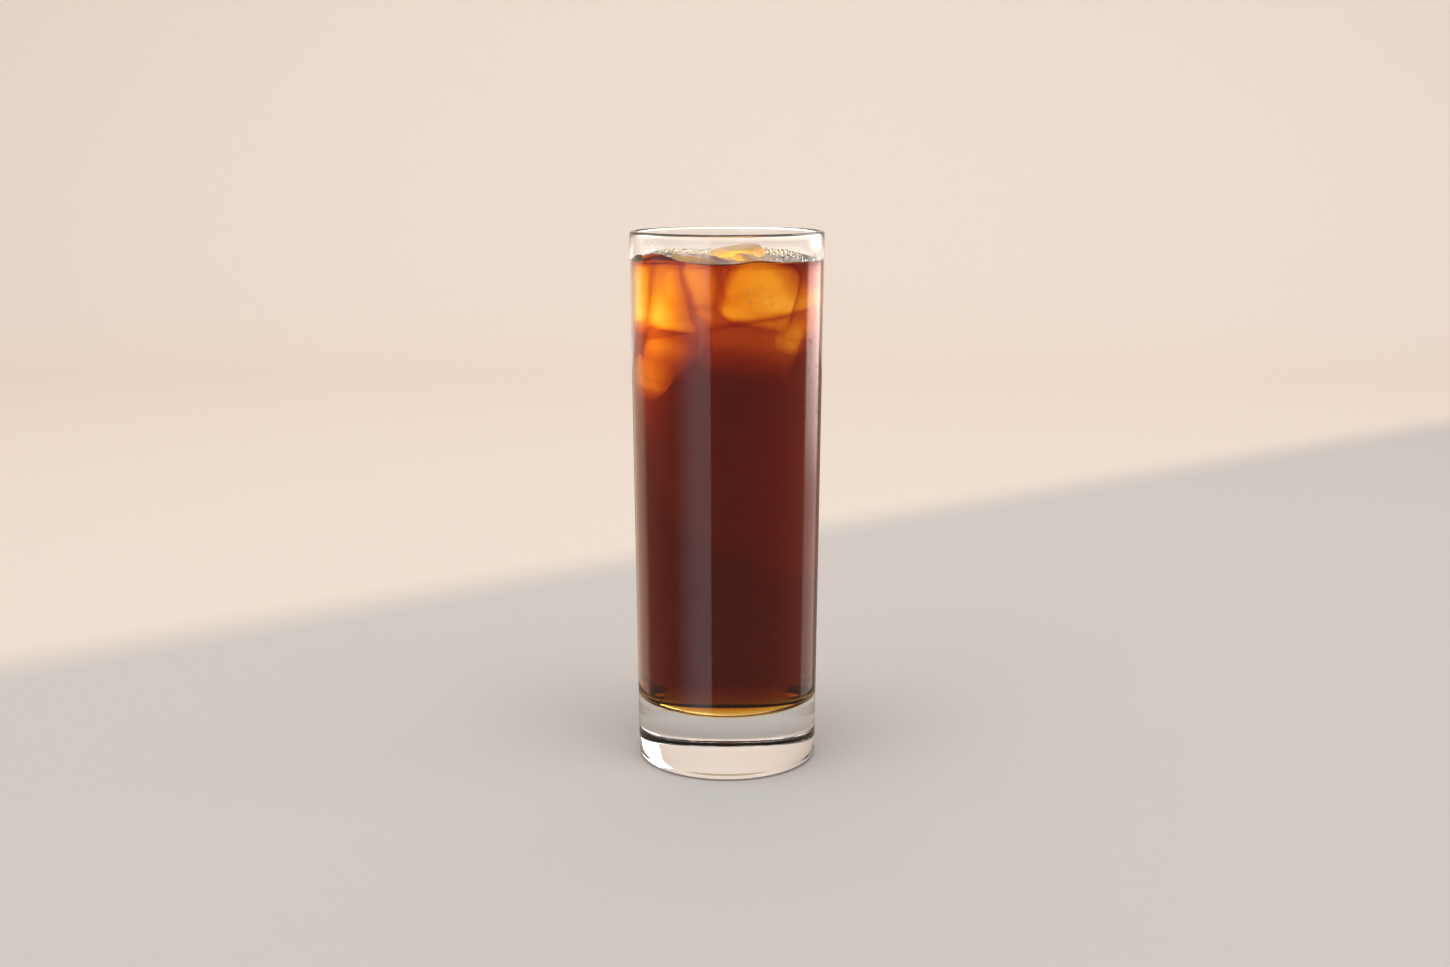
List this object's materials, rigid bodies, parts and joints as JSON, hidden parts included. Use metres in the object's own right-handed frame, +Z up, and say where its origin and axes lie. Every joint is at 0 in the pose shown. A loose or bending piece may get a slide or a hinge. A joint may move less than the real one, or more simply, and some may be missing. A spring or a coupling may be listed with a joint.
{
  "type": "iced coffee in a highball glass",
  "caption": "Iced black coffee in a tall straight-sided clear glass with a thick base, filled nearly to the rim, with melting ice cubes at its surface.",
  "frame": {"origin": "middle of the circle the glass stands on, at table level", "axes": "+Z up along the glass's axis; -Y towards the shown side, where two ice cubes lie against the wall; +X to the right of that side"},
  "size_m": [0.063, 0.063, 0.176],
  "materials": {
    "glass": "clear, colourless, fire-polished soda-lime glass",
    "coffee": "dark red-brown clear liquid, amber where thin",
    "ice": "clear wet melting ice"
  },
  "bodies": {
    "root": {"glass": "glass", "coffee": "coffee", "ice_left": "ice", "ice_right": "ice", "ice_back": "ice"}
  },
  "joints": []
}
